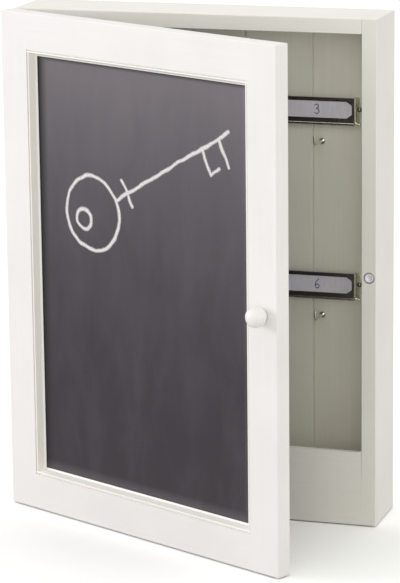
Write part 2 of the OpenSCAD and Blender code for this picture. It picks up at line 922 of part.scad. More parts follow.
side_left();
side_right();
top_board();
bottom_board();
front_apron();
back_panel();
carcass_brads();
key_hook(0);  // key_hook_1
key_hook(1);  // key_hook_2
key_hook(2);  // key_hook_3
key_hook(3);  // key_hook_4
key_hook(4);  // key_hook_5
key_hook(5);  // key_hook_6
label_holder(0);  // label_holder_1
label_holder(1);  // label_holder_2
label_holder(2);  // label_holder_3
label_holder(3);  // label_holder_4
label_holder(4);  // label_holder_5
label_holder(5);  // label_holder_6
label_card(0);  // label_card_1
label_card(1);  // label_card_2
label_card(2);  // label_card_3
label_card(3);  // label_card_4
label_card(4);  // label_card_5
label_card(5);  // label_card_6
label_nails();
magnet_cup();
magnet();
hanger(-1);  // hanger_left
hanger(1);  // hanger_right
hanger_screws();
body_leaf(hinge_z[1]);  // hinge_upper_body_leaf
body_leaf(hinge_z[0]);  // hinge_lower_body_leaf
hinge_pin(hinge_z[1]);  // hinge_upper_pin
hinge_pin(hinge_z[0]);  // hinge_lower_pin
hinge_body_screws();
door_leaf(hinge_z[1]);  // hinge_upper_door_leaf
door_leaf(hinge_z[0]);  // hinge_lower_door_leaf
hinge_door_screws();
door_stile(-1);  // door_stile_left
door_stile(1);  // door_stile_right
door_rail(1);  // door_rail_top
door_rail(-1);  // door_rail_bottom
door_dowels();
at_moulding(-90, opening_w / 2) moulding_strip(opening_h);  // moulding_left
at_moulding(90, opening_w / 2) moulding_strip(opening_h);  // moulding_right
at_moulding(0, opening_h / 2) moulding_strip(opening_w);  // moulding_top
at_moulding(180, opening_h / 2) moulding_strip(opening_w);  // moulding_bottom
chalkboard();
board_points();
knob();
knob_screw();
strike_tack();
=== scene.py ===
import json
import math

import bmesh
import bpy
from mathutils import Matrix, Vector


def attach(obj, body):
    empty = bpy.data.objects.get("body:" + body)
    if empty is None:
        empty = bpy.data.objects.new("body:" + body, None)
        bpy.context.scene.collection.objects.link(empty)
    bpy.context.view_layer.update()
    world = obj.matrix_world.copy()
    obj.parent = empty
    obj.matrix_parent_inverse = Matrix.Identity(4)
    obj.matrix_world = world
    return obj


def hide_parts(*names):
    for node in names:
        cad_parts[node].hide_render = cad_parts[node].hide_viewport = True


# Lengths are in millimetres until a piece is finished, and only then in metres
mm = 0.001

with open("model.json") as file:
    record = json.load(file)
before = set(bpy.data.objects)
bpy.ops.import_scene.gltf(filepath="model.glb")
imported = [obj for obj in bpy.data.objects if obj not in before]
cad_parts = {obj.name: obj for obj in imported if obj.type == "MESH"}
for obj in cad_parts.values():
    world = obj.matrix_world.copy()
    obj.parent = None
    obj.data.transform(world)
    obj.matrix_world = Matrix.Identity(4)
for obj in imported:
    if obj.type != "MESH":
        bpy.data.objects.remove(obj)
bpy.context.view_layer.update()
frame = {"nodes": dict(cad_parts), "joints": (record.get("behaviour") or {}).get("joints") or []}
nodes = frame["nodes"]
print("frame loaded:", len(nodes), "nodes")

# The door's pieces are made on the closed door and then turned open about the hinge pins
doorJoint = frame["joints"][0]
openAngle = -math.radians(doorJoint["range_deg"][0])
hingeAxis = Vector(doorJoint["pos_m"]) / mm
turnDoor = (
    Matrix.Translation(hingeAxis)
    @ Matrix.Rotation(openAngle, 4, Vector(doorJoint["axis"]))
    @ Matrix.Translation(-hingeAxis)
)

cabinet = {
    "width": 220, "height": 300, "depth": 42.5,
    "board": 8.8, "panel": 3.6, "apron": 44.4, "apronThickness": 3.2, "cornerRadius": 1.8,
    "outerEdge": 0.5,  # radius of the sanded outer edges
    "openingEdge": 0.4,  # radius of the edges round the opening
    "binEdge": 0.4,
    "joint": 0.12,  # dark gap at the ends of the top board
    "groovePitch": 41, "grooveWidth": 1.2, "grooveDepth": 1.1, "grooveEdge": 0.12,
}
halfWidth = cabinet["width"] / 2
innerHalf = halfWidth - cabinet["board"]
frontY = -cabinet["depth"] / 2
backY = cabinet["depth"] / 2
panelY = backY - cabinet["panel"]
middleZ = cabinet["height"] / 2

door = {
    "thickness": 9.5, "gap": 0.6, "frameWidth": 21.4,
    "boardRecess": 5.8, "boardThickness": 3, "rebate": 5, "play": 0.3,
    "outerEdge": 0.6, "backEdge": 0.4, "boardEdge": 0.3,
}
doorBackY = frontY - door["gap"]
doorFrontY = doorBackY - door["thickness"]
openingHalfX = halfWidth - door["frameWidth"]
openingHalfZ = middleZ - door["frameWidth"]
latchZ = middleZ - 0.6
chalkY = doorFrontY + door["boardRecess"]


faceOf = {
    "left": (0, 0), "right": (0, 1), "front": (1, 0), "back": (1, 1), "bottom": (2, 0), "top": (2, 1),
}
frontEdges = ["front left", "front right", "front top", "front bottom"]


def boxShape(low, high):
    low, high = Vector(low), Vector(high)
    bm = bmesh.new()
    bmesh.ops.create_cube(bm, size=1, matrix=Matrix.LocRotScale((low + high) / 2, None, high - low))
    return bm


def boxEdges(bm, low, high, names):  # "front top" is the edge where those two faces of the box meet
    planes = [[(faceOf[word][0], (low, high)[faceOf[word][1]]) for word in name.split()] for name in names]
    found = []
    for edge in bm.edges:
        middle = (edge.verts[0].co + edge.verts[1].co) / 2
        if any(all(abs(middle[axis] - corner[axis]) < 1e-4 for axis, corner in pair) for pair in planes):
            found.append(edge)
    return found


def ease(bm, edges, radius, segments=3):
    return bmesh.ops.bevel(
        bm, geom=edges, offset=radius, offset_type="OFFSET", segments=segments,
        profile=0.5, affect="EDGES", material=-1, clamp_overlap=True,
    )


def easedBox(low, high, eased, segments=3):  # eased gives a radius for each list of edges
    bm = boxShape(low, high)
    for radius, names in eased:
        ease(bm, boxEdges(bm, low, high, names), radius, segments)
    return bm


def pushed(bm, face, move):  # with its edges named too, no face is left behind inside the shape
    moved = bmesh.ops.extrude_face_region(bm, geom=[face, *face.edges, *face.verts])["geom"]
    bmesh.ops.translate(bm, verts=[g for g in moved if isinstance(g, bmesh.types.BMVert)], vec=move)


def extruded(outline, along):
    bm = bmesh.new()
    pushed(bm, bm.faces.new([bm.verts.new(point) for point in outline]), along)
    bmesh.ops.recalc_face_normals(bm, faces=bm.faces[:])
    return bm


def rod(start, end, radius, segments=32):
    start, end = Vector(start), Vector(end)
    along = end - start
    bm = bmesh.new()
    place = Matrix.Translation((start + end) / 2) @ along.to_track_quat("Z", "Y").to_matrix().to_4x4()
    bmesh.ops.create_cone(
        bm, cap_ends=True, cap_tris=False, segments=segments,
        radius1=radius, radius2=radius, depth=along.length, matrix=place,
    )
    return bm


def turned(section, place, steps=64):  # section is [radius, height] from the axis back to the axis
    bm = bmesh.new()
    points = [bm.verts.new((radius, 0, height)) for radius, height in section]
    lines = [bm.edges.new(pair) for pair in zip(points, points[1:])]
    bmesh.ops.spin(
        bm, geom=points + lines, cent=(0, 0, 0), axis=(0, 0, 1),
        angle=math.tau, steps=steps, use_merge=True, use_duplicate=False,
    )
    bmesh.ops.remove_doubles(bm, verts=bm.verts[:], dist=1e-4)
    bmesh.ops.recalc_face_normals(bm, faces=bm.faces[:])
    bm.transform(place)
    return bm


def wholeMesh(bm):
    return bm.verts[:] + bm.edges[:] + bm.faces[:]


def trim(bm, point, normal):  # takes away what lies beyond the plane and closes the cut
    cut = bmesh.ops.bisect_plane(
        bm, geom=wholeMesh(bm), dist=1e-5, plane_co=point, plane_no=normal, clear_outer=True,
    )
    rim = [g for g in cut["geom_cut"] if isinstance(g, bmesh.types.BMEdge)]
    bmesh.ops.holes_fill(bm, edges=rim, sides=0)
    return bm


def looseObject(bm):
    mesh = bpy.data.meshes.new("loose")
    bm.to_mesh(mesh)
    bm.free()
    shape = bpy.data.objects.new("loose", mesh)
    bpy.context.scene.collection.objects.link(shape)
    return shape


def combined(bm, others, operation):
    body = looseObject(bm)
    tools = [looseObject(other) for other in others]
    for tool in tools:
        modifier = body.modifiers.new("combine", "BOOLEAN")
        modifier.operation = operation
        modifier.solver = "EXACT"
        modifier.object = tool
    result = bmesh.new()
    result.from_object(body, bpy.context.evaluated_depsgraph_get())
    for shape in [body, *tools]:
        mesh = shape.data
        bpy.data.objects.remove(shape)
        bpy.data.meshes.remove(mesh)
    return result


def makePiece(name, bm, body, materials, replaced, smoothAngle=35):
    if body == "door":
        bm.transform(turnDoor)
    bm.transform(Matrix.Scale(mm, 4))
    mesh = bpy.data.meshes.new(name)
    bm.to_mesh(mesh)
    bm.free()
    for material in materials:
        mesh.materials.append(material)
    mesh.shade_smooth()
    mesh.set_sharp_from_angle(angle=math.radians(smoothAngle))
    piece = bpy.data.objects.new(name, mesh)
    bpy.context.scene.collection.objects.link(piece)
    shading = piece.modifiers.new("flatFacesStayFlat", "WEIGHTED_NORMAL")
    shading.keep_sharp = True
    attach(piece, body)
    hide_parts(*replaced)
    return piece


def onArc(centre, radius, start, end, steps):
    angles = [math.radians(start + (end - start) * k / steps) for k in range(steps + 1)]
    return [(centre[0] + radius * math.cos(a), centre[1] + radius * math.sin(a)) for a in angles]


def linear(hexCode):  # sRGB hex to the linear colour that a socket takes
    parts = [int(hexCode[k:k + 2], 16) / 255 for k in (1, 3, 5)]
    return tuple(c / 12.92 if c <= 0.04045 else ((c + 0.055) / 1.055) ** 2.4 for c in parts) + (1.0,)


def addNode(tree, kind, settings=None, links=None):
    node = tree.nodes.new("ShaderNode" + kind)
    for key, value in (settings or {}).items():
        if isinstance(key, int) or key in node.inputs:
            node.inputs[key].default_value = value
        else:
            setattr(node, key, value)
    for key, source in (links or {}).items():
        tree.links.new(source, node.inputs[key])
    return node


def newMaterial(name):
    material = bpy.data.materials.new(name)
    material.use_nodes = True
    material.node_tree.nodes.clear()
    return material, material.node_tree


def closedDoor(tree, size, centre=None):  # object coordinates on the closed door, divided by size
    coordinates = addNode(tree, "TexCoord")
    return addNode(tree, "Mapping", {
        "vector_type": "TEXTURE",
        "Location": tuple((turnDoor @ Vector(centre or hingeAxis)) * mm),
        "Rotation": (0, 0, -openAngle),
        "Scale": tuple(length * mm for length in size),
    }, {"Vector": coordinates.outputs["Object"]})


def standing(tree, size):  # object coordinates divided by size
    coordinates = addNode(tree, "TexCoord")
    return addNode(tree, "Mapping", {
        "vector_type": "TEXTURE", "Scale": tuple(length * mm for length in size),
    }, {"Vector": coordinates.outputs["Object"]})


paint = {
    "colour": "#f0ede6", "thin": "#e8e4dc",
    "brushWidth": 1.4, "brushLength": 70,  # a fine bristle mark is under 0.3 mm; drawn coarser so that it shows
    "peel": 1.1, "patch": 45,
    "roughness": (0.34, 0.46), "bump": 0.035,
}
doorPaint = dict(paint, colour="#f2efed", thin="#eae6e3")
# the beads take a lighter copy of the door paint: a painted highlight on their slopes
litBeadPaint = dict(doorPaint, colour="#fcf8f2", thin="#f6f1eb")
insidePaint = dict(paint, colour="#efece0", thin="#e3e0d4", roughness=(0.5, 0.62), bump=0.045)


def brushedPaint(name, look, grain, onDoor=False):
    # Alkyd enamel, brushed on sanded wood: satin white with faint bristle marks along the board
    material, tree = newMaterial(name)
    place = closedDoor if onDoor else standing
    width, length = look["brushWidth"], look["brushLength"]
    brushSize = [length if axis == grain else width for axis in range(3)]
    brush = addNode(tree, "TexNoise", {"Scale": 1, "Detail": 3, "Roughness": 0.55},
                    {"Vector": place(tree, brushSize).outputs[0]})
    patches = addNode(tree, "TexNoise", {"Scale": 1, "Detail": 2},
                      {"Vector": place(tree, [look["patch"]] * 3).outputs[0]})
    peel = addNode(tree, "TexNoise", {"Scale": 1, "Detail": 1},
                   {"Vector": place(tree, [look["peel"]] * 3).outputs[0]})
    tint = addNode(tree, "MapRange", {"From Min": 0.35, "From Max": 0.75, "To Min": 0, "To Max": 0.55},
                   {"Value": patches.outputs["Fac"]})
    marks = addNode(tree, "MapRange", {"From Min": 0.3, "From Max": 0.7, "To Min": 0, "To Max": 0.3},
                    {"Value": brush.outputs["Fac"]})
    both = addNode(tree, "Math", {"operation": "ADD", "use_clamp": True},
                   {0: tint.outputs[0], 1: marks.outputs[0]})
    colour = addNode(tree, "Mix", {
        "data_type": "RGBA", 6: linear(look["colour"]), 7: linear(look["thin"]),
    }, {0: both.outputs[0]})
    roughness = addNode(tree, "MapRange", {
        "From Min": 0.3, "From Max": 0.7, "To Min": look["roughness"][0], "To Max": look["roughness"][1],
    }, {"Value": brush.outputs["Fac"]})
    height = addNode(tree, "Math", {"operation": "MULTIPLY_ADD", 1: 0.5},
                     {0: peel.outputs["Fac"], 2: brush.outputs["Fac"]})
    bump = addNode(tree, "Bump", {"Strength": 0.6, "Distance": look["bump"] * mm},
                   {"Height": height.outputs[0]})
    shader = addNode(tree, "BsdfPrincipled", {"IOR": 1.5}, {
        "Base Color": colour.outputs[2], "Roughness": roughness.outputs[0], "Normal": bump.outputs[0],
    })
    addNode(tree, "OutputMaterial", None, {"Surface": shader.outputs[0]})
    return material


paintUpright = brushedPaint("satin enamel, upright", paint, 2)
paintLevel = brushedPaint("satin enamel, level", paint, 0)
paintDoorUpright = brushedPaint("satin enamel, door upright", doorPaint, 2, True)
paintDoorLevel = brushedPaint("satin enamel, door level", doorPaint, 0, True)
paintLitBeadUpright = brushedPaint("satin enamel painted lighter, bead upright", litBeadPaint, 2, True)
paintLitBeadLevel = brushedPaint("satin enamel painted lighter, bead level", litBeadPaint, 0, True)
paintInside = brushedPaint("eggshell inside paint", insidePaint, 2)

moulding = {
    "width": 3.9, "quirk": 0.7, "quirkDepth": 1.2, "bead": 0.55, "beadDepth": 0.7,
    "lip": 1, "lipRise": 1.7, "lipStep": 0.35, "lipRound": 0.3, "lipGap": 0.5,
}

chalkboardLook = {
    "colour": "#3a363b", "dust": "#aca4aa",
    "topDustAndReflection": 0.38, "topDustAndReflectionBend": 2.8,  # share of chalk dust at the top, a painted reflection that makes the board lighter towards the top, and how fast it thins out downwards
    "shadedCleanEdge": 7,  # width of the strip along the left and top that holds no dust, darker there as painted shadow of the frame as well as wiped board
    "dustEdge": 6, "edgeDust": 0.16,  # width of the dusty strip along the right and bottom, and its dust
    "smearWidth": 22, "smearLength": 60, "roughness": (0.6, 0.8),
    "chalk": "#ebe9e8", "strokeGrain": 0.7, "strokeEdge": 0.7,
    "handShake": 4, "shakeScale": 0.07,  # how far a stroke strays, and waves per millimetre
}
# A chalk drawing of a plain key: strokes as start, end and half width, from the middle of the board
keyDrawing = [
    ((-21, 47), (69, 97), 1.2), ((61, 92), (69, 77), 1.1), ((48, 85), (55, 71), 1.1), ((55, 71), (62, 75), 1),
    ((-8, 45), (-16, 59), 1.1),
]
keyRing = {"centre": (-41, 37), "radius": 22, "halfWidth": 1.2, "hole": 6, "holeAt": (-48, 33)}


def chalkMask(tree, point):
    # The distance to the nearest stroke, less its half width
    distances = []
    for start, end, halfStroke in keyDrawing:
        start, end = Vector((start[0], 0, start[1])), Vector((end[0], 0, end[1]))
        along = end - start
        offset = addNode(tree, "VectorMath", {"operation": "SUBTRACT", 1: start}, {0: point})
        share = addNode(tree, "VectorMath", {"operation": "DOT_PRODUCT", 1: along / along.length_squared},
                        {0: offset.outputs[0]})
        within = addNode(tree, "Clamp", None, {"Value": share.outputs["Value"]})
        foot = addNode(tree, "VectorMath", {"operation": "SCALE", 0: along}, {"Scale": within.outputs[0]})
        gap = addNode(tree, "VectorMath", {"operation": "DISTANCE"}, {0: offset.outputs[0], 1: foot.outputs[0]})
        distances.append(addNode(tree, "Math", {"operation": "SUBTRACT", 1: halfStroke},
                                 {0: gap.outputs["Value"]}))
    for centre, radius in ((keyRing["centre"], keyRing["radius"]), (keyRing["holeAt"], keyRing["hole"])):
        reach = addNode(tree, "VectorMath", {"operation": "DISTANCE", 1: (centre[0], 0, centre[1])}, {0: point})
        off = addNode(tree, "Math", {"operation": "SUBTRACT", 1: radius}, {0: reach.outputs["Value"]})
        gap = addNode(tree, "Math", {"operation": "ABSOLUTE"}, {0: off.outputs[0]})
        distances.append(addNode(tree, "Math", {"operation": "SUBTRACT", 1: keyRing["halfWidth"]},
                                 {0: gap.outputs[0]}))
    nearest = distances[0]
    for gap in distances[1:]:
        nearest = addNode(tree, "Math", {"operation": "MINIMUM"}, {0: nearest.outputs[0], 1: gap.outputs[0]})
    return nearest


def chalkboardPaint():
    # Chalkboard paint on hardboard: flat slate grey, with chalk dust and a painted reflection that lighten it
    # towards the top, a darker strip along the left and top that is painted shadow of the frame as well as
    # wiped board, and a dry chalk drawing
    look = chalkboardLook
    material, tree = newMaterial("chalkboard paint with chalk dust")
    centre = (0, chalkY, middleZ)
    flat = closedDoor(tree, [1, 1, 1], centre)  # millimetres from the middle of the board
    wobble = addNode(tree, "TexNoise", {"Scale": look["shakeScale"], "Detail": 2}, {"Vector": flat.outputs[0]})
    shift = addNode(tree, "VectorMath", {"operation": "SUBTRACT", 1: (0.5, 0.5, 0.5)},
                    {0: wobble.outputs["Color"]})
    shake = look["handShake"]
    shifted = addNode(tree, "VectorMath", {"operation": "MULTIPLY_ADD", 1: (shake, 0, shake)},
                      {0: shift.outputs[0], 2: flat.outputs[0]})
    sheet = addNode(tree, "VectorMath", {"operation": "MULTIPLY", 1: (1, 0, 1)}, {0: shifted.outputs[0]})
    stroke = chalkMask(tree, sheet.outputs[0])
    solid = addNode(tree, "MapRange", {
        "From Min": look["strokeEdge"] * 0.4, "From Max": -look["strokeEdge"], "To Min": 0, "To Max": 1,
    }, {"Value": stroke.outputs[0]})
    grain = addNode(tree, "TexNoise", {"Scale": 1 / look["strokeGrain"], "Detail": 3, "Roughness": 0.7},
                    {"Vector": flat.outputs[0]})
    tooth = addNode(tree, "MapRange", {"From Min": 0.3, "From Max": 0.52, "To Min": 0.25, "To Max": 1},
                    {"Value": grain.outputs["Fac"]})
    chalk = addNode(tree, "Math", {"operation": "MULTIPLY"}, {0: solid.outputs[0], 1: tooth.outputs[0]})

    smears = addNode(tree, "TexNoise", {"Scale": 1, "Detail": 4, "Roughness": 0.6, "Distortion": 0.4}, {
        "Vector": closedDoor(tree, [look["smearWidth"], 50, look["smearLength"]], centre).outputs[0],
    })
    axes = addNode(tree, "SeparateXYZ", None, {0: flat.outputs[0]})
    # lighter towards the top: chalk dust together with a painted reflection
    upward = addNode(tree, "MapRange", {"From Min": -openingHalfZ, "From Max": openingHalfZ},
                     {"Value": axes.outputs["Z"]})
    bent = addNode(tree, "Math", {"operation": "POWER", 1: look["topDustAndReflectionBend"]}, {0: upward.outputs[0]})
    topDustAndReflection = addNode(tree, "Math", {"operation": "MULTIPLY", 1: look["topDustAndReflection"]}, {0: bent.outputs[0]})
    smear = addNode(tree, "MapRange", {"From Min": 0.35, "From Max": 0.7, "To Min": -0.02, "To Max": 0.05},
                    {"Value": smears.outputs["Fac"]})
    speck = addNode(tree, "MapRange", {"From Min": 0.35, "From Max": 0.7, "To Min": -0.015, "To Max": 0.03},
                    {"Value": grain.outputs["Fac"]})
    some = addNode(tree, "Math", {"operation": "ADD"}, {0: topDustAndReflection.outputs[0], 1: smear.outputs[0]})
    dust = addNode(tree, "Math", {"operation": "ADD", "use_clamp": True},
                   {0: some.outputs[0], 1: speck.outputs[0]})
    # the strip along the left and top without dust is darker: painted shadow of the frame as well as wiped
    # board
    inset = moulding["width"]
    left = addNode(tree, "MapRange", {
        "From Min": inset - openingHalfX, "From Max": inset + look["shadedCleanEdge"] - openingHalfX,
    }, {"Value": axes.outputs["X"]})
    top = addNode(tree, "MapRange", {
        "From Min": openingHalfZ - inset, "From Max": openingHalfZ - inset - look["shadedCleanEdge"] / 3,
    }, {"Value": axes.outputs["Z"]})
    right = addNode(tree, "MapRange", {
        "From Min": openingHalfX - inset - look["dustEdge"], "From Max": openingHalfX - inset,
        "To Min": 0, "To Max": look["edgeDust"],
    }, {"Value": axes.outputs["X"]})
    low = addNode(tree, "MapRange", {
        "From Min": inset + look["dustEdge"] - openingHalfZ, "From Max": inset - openingHalfZ,
        "To Min": 0, "To Max": look["edgeDust"],
    }, {"Value": axes.outputs["Z"]})
    cleanAndShaded = addNode(tree, "Math", {"operation": "MINIMUM"}, {0: left.outputs[0], 1: top.outputs[0]})
    wipedAndShaded = addNode(tree, "Math", {"operation": "MULTIPLY"}, {0: dust.outputs[0], 1: cleanAndShaded.outputs[0]})
    caught = addNode(tree, "Math", {"operation": "MAXIMUM"}, {0: right.outputs[0], 1: low.outputs[0]})
    total = addNode(tree, "Math", {"operation": "ADD", "use_clamp": True},
                    {0: wipedAndShaded.outputs[0], 1: caught.outputs[0]})
    dusty = addNode(tree, "Mix", {
        "data_type": "RGBA", 6: linear(look["colour"]), 7: linear(look["dust"]),
    }, {0: total.outputs[0]})
    drawn = addNode(tree, "Mix", {"data_type": "RGBA", 7: linear(look["chalk"])},
                    {0: chalk.outputs[0], 6: dusty.outputs[2]})
    roughness = addNode(tree, "MapRange", {
        "From Min": 0.3, "From Max": 0.7, "To Min": look["roughness"][0], "To Max": look["roughness"][1],
    }, {"Value": smears.outputs["Fac"]})
    relief = addNode(tree, "Math", {"operation": "MULTIPLY_ADD", 1: 0.4},
                     {0: grain.outputs["Fac"], 2: chalk.outputs[0]})
    bump = addNode(tree, "Bump", {"Strength": 0.5, "Distance": 0.06 * mm}, {"Height": relief.outputs[0]})
    shader = addNode(tree, "BsdfPrincipled", {"IOR": 1.5, "Specular IOR Level": 0.25}, {
        "Base Color": drawn.outputs[2], "Roughness": roughness.outputs[0], "Normal": bump.outputs[0],
    })
    addNode(tree, "OutputMaterial", None, {"Surface": shader.outputs[0]})
    return material


chalkboardMaterial = chalkboardPaint()


def grainy(name, look, size, metallic=0.0):
    # One colour drifting into another over patches of the given size, with a fine tooth
    material, tree = newMaterial(name)
    patches = addNode(tree, "TexNoise", {"Scale": 1, "Detail": 4, "Roughness": 0.65},
                      {"Vector": standing(tree, size).outputs[0]})
    tooth = addNode(tree, "TexNoise", {"Scale": 1, "Detail": 2},
                    {"Vector": standing(tree, [look["tooth"]] * 3).outputs[0]})
    share = addNode(tree, "MapRange", {"From Min": 0.32, "From Max": 0.68},
                    {"Value": patches.outputs["Fac"]})
    colour = addNode(tree, "Mix", {
        "data_type": "RGBA", 6: linear(look["colour"]), 7: linear(look["second"]),
    }, {0: share.outputs[0]})
    roughness = addNode(tree, "MapRange", {
        "From Min": 0.3, "From Max": 0.7, "To Min": look["roughness"][0], "To Max": look["roughness"][1],
    }, {"Value": patches.outputs["Fac"]})
    bump = addNode(tree, "Bump", {"Strength": 0.5, "Distance": look["bump"] * mm},
                   {"Height": tooth.outputs["Fac"]})
    shader = addNode(tree, "BsdfPrincipled", {"Metallic": metallic}, {
        "Base Color": colour.outputs[2], "Roughness": roughness.outputs[0], "Normal": bump.outputs[0],
    })
    addNode(tree, "OutputMaterial", None, {"Surface": shader.outputs[0]})
    return material


# Zinc-plated steel: cool grey with a faint cloudiness
zincSteel = grainy("zinc-plated steel", {
    "colour": "#d3d5d6", "second": "#b7babc", "roughness": (0.24, 0.4), "tooth": 0.5, "bump": 0.01,
}, [4, 4, 4], 1.0)
# Bare drawn steel, slightly browned
plainSteel = grainy("bare steel", {
    "colour": "#a9a6a2", "second": "#8b8680", "roughness": (0.35, 0.55), "tooth": 0.6, "bump": 0.015,
}, [3, 3, 3], 1.0)
# Frosted nickel plate of the magnet: bright lavender white, so matt that it mirrors nothing sharply
nickelPlate = grainy("frosted nickel plate", {
    "colour": "#f6f4fa", "second": "#efedf4", "roughness": (0.5, 0.6), "tooth": 0.5, "bump": 0.006,
}, [2, 2, 2], 0.35)
# Dull zinc on the magnet's cup: even mid grey
cupSteel = grainy("dull zinc plate", {
    "colour": "#cbc8c8", "second": "#bcb9b9", "roughness": (0.5, 0.6), "tooth": 0.5, "bump": 0.01,
}, [2, 2, 2], 0.3)
# Drawn wire: bright along the middle of its round, where it mirrors the light, and dark at both sides
hookWire = grainy("drawn zinc-plated wire", {
    "colour": "#efe9dc", "second": "#d3ccbd", "roughness": (0.1, 0.18), "tooth": 0.5, "bump": 0.008,
}, [3, 3, 3], 1.0)
# Polished dark tinplate: mirrors the dark back of the door on its flat face, and covers the underside of its
# roll
blackSteel = grainy("polished dark tinplate", {
    "colour": "#a8a59f", "second": "#8f8c86", "roughness": (0.16, 0.28), "tooth": 0.7, "bump": 0.012,
}, [5, 5, 5], 1.0)
# Bare tinplate at rims, bends and cut edges, also laid on the top of the roll as a painted highlight: pale
# cream, with a soft bright streak along each round
wornAndHighlightSteel = grainy("bare tinplate with a painted highlight on the roll", {
    "colour": "#fffbec", "second": "#eeeadb", "roughness": (0.2, 0.3), "tooth": 0.7, "bump": 0.01,
}, [2.5, 2.5, 2.5], 1.0)
# Darker tinplate of the ears, a painted shade on the inner part of their curve: flat grey green
shadedTinSteel = grainy("tinplate darkened as painted shade", {
    "colour": "#cfcdb8", "second": "#b0ae99", "roughness": (0.5, 0.65), "tooth": 0.7, "bump": 0.02,
}, [3, 3, 3], 1.0)
# The same, painted lighter on the outer lip of the ears as a painted highlight
litEarLipSteel = grainy("tinplate lightened as a painted highlight", {
    "colour": "#f2efdf", "second": "#cfccbb", "roughness": (0.3, 0.4), "tooth": 0.7, "bump": 0.02,
}, [2, 2, 2], 1.0)
# Lavender-grey card with short fibres
cardPaper = grainy("lavender card", {
    "colour": "#e2dfe8", "second": "#d6d3de", "roughness": (0.8, 0.9), "tooth": 0.4, "bump": 0.02,
}, [1.5, 1.5, 6])
# Blue-violet ink
ballpointInk = grainy("ballpoint ink", {
    "colour": "#4a4a86", "second": "#5d5d96", "roughness": (0.4, 0.55), "tooth": 0.4, "bump": 0.005,
}, [1, 1, 1])
# Turned beech: fine short flecks along the dowel
beechWood = grainy("beech", {
    "colour": "#d9b98c", "second": "#c7a273", "roughness": (0.55, 0.7), "tooth": 0.5, "bump": 0.03,
}, [6, 0.8, 0.8])
# Hardboard under a thin dark coat, as on the back of the chalkboard: the label holders mirror it dark grey
hardboard = grainy("dark coated hardboard", {
    "colour": "#4a474b", "second": "#3b383b", "roughness": (0.7, 0.85), "tooth": 0.6, "bump": 0.04,
}, [1.2, 1.2, 1.2])
print("materials ready")


def sideBoard(side):
    low = Vector((halfWidth - cabinet["board"] if side > 0 else -halfWidth, frontY, 0))
    high = low + Vector((cabinet["board"], cabinet["depth"], cabinet["height"]))
    outer, inner = ("right", "left") if side > 0 else ("left", "right")
    bm = boxShape(low, high)
    corner = cabinet["apron"] + cabinet["cornerRadius"]
    for height in (corner, cabinet["height"] - cabinet["board"]):
        bmesh.ops.bisect_plane(bm, geom=wholeMesh(bm), plane_co=(0, 0, height), plane_no=(0, 0, 1))
    outerNames = [f"front {outer}", f"back {outer}", f"{outer} top", "front top", "back top"]
    ease(bm, boxEdges(bm, low, high, outerNames), cabinet["outerEdge"])
    opening = [
        edge for edge in boxEdges(bm, low, high, [f"front {inner}"])
        if corner < (edge.verts[0].co.z + edge.verts[1].co.z) / 2 < high.z - cabinet["board"]
    ]
    ease(bm, opening, cabinet["openingEdge"])
    return bm


hinge = {
    "height": 25, "inset": 45, "leafWidth": 7.5, "leaf": 0.8, "barrel": 3.2, "room": 0.4, "play": 0.1,
}
hingeHeights = (hinge["inset"], cabinet["height"] - hinge["inset"])
leafEndX = -halfWidth + hinge["leafWidth"]


def hingeRoom(y, depth):  # gains for the two leaves, and room round their barrels
    tools = []
    for z in hingeHeights:
        half = hinge["height"] / 2
        tools.append(boxShape((-halfWidth - 2, min(y, y + depth), z - half - hinge["play"]),
                              (leafEndX + hinge["play"], max(y, y + depth), z + half + hinge["play"])))
        roomHalf = half + 0.5 + hinge["room"]
        tools.append(rod((hingeAxis.x, hingeAxis.y, z - roomHalf), (hingeAxis.x, hingeAxis.y, z + roomHalf),
                         hinge["barrel"] / 2 + hinge["room"]))
    return tools


hanger = {
    "drop": 28, "width": 7.6, "height": 36, "plate": 1, "holeRadius": 3, "slotLength": 7,
    "pocketDepth": 6, "pocketRoom": 0.3,
}
hangerLow = cabinet["height"] - hanger["drop"] - hanger["height"] / 2 + hanger["slotLength"] / 2


def hangerPocket(side):
    x = side * (halfWidth - cabinet["board"] / 2)
    z = cabinet["height"] - hanger["drop"]
    radius = hanger["holeRadius"] + hanger["pocketRoom"]
    top = z + hanger["slotLength"]
    depth = backY - hanger["pocketDepth"]
    return [
        boxShape((x - hanger["width"] / 2, backY - hanger["plate"], hangerLow),
                 (x + hanger["width"] / 2, backY + 1, hangerLow + hanger["height"])),
        rod((x, depth, z), (x, backY + 1, z), radius),
        rod((x, depth, top), (x, backY + 1, top), radius),
        boxShape((x - radius, depth, z), (x + radius, backY + 1, top)),
    ]


catch = {"x": halfWidth - 4.3, "cup": 6.9, "depth": 3.6, "wall": 0.4, "floor": 0.6, "magnet": 5.4,
         "tack": 6.4, "tackHead": 1, "cupEdge": 0.12, "magnetEdge": 0.25,
         "dish": 3, "dishFloor": 2.7, "dishDepth": 0.1}  # the shallow dish in the magnet's face

leftSide = combined(sideBoard(-1), hangerPocket(-1) + hingeRoom(frontY - 1, 1 + hinge["leaf"]), "DIFFERENCE")
makePiece("left_side_board", leftSide, "cabinet", [paintUpright], ["side_left"])
cupHole = rod((catch["x"], frontY - 1, latchZ), (catch["x"], frontY + catch["depth"], latchZ),
              catch["cup"] / 2, 48)
rightSide = combined(sideBoard(1), hangerPocket(1) + [cupHole], "DIFFERENCE")
makePiece("right_side_board", rightSide, "cabinet", [paintUpright], ["side_right"])

topLow = (cabinet["joint"] - innerHalf, frontY, cabinet["height"] - cabinet["board"])
topHigh = (innerHalf - cabinet["joint"], backY, cabinet["height"])
makePiece("top_of_carcass", easedBox(topLow, topHigh, [
    (cabinet["outerEdge"], ["front top", "back top"]), (cabinet["openingEdge"], ["front bottom"]),
]), "cabinet", [paintLevel], ["top_board"])

bottomLow = (-innerHalf, frontY + cabinet["apronThickness"], 0)
bottomHigh = (innerHalf, backY, cabinet["board"])
makePiece("bin_floor", easedBox(bottomLow, bottomHigh, [(cabinet["binEdge"], ["back bottom"])]),
          "cabinet", [paintInside], ["bottom_board"])


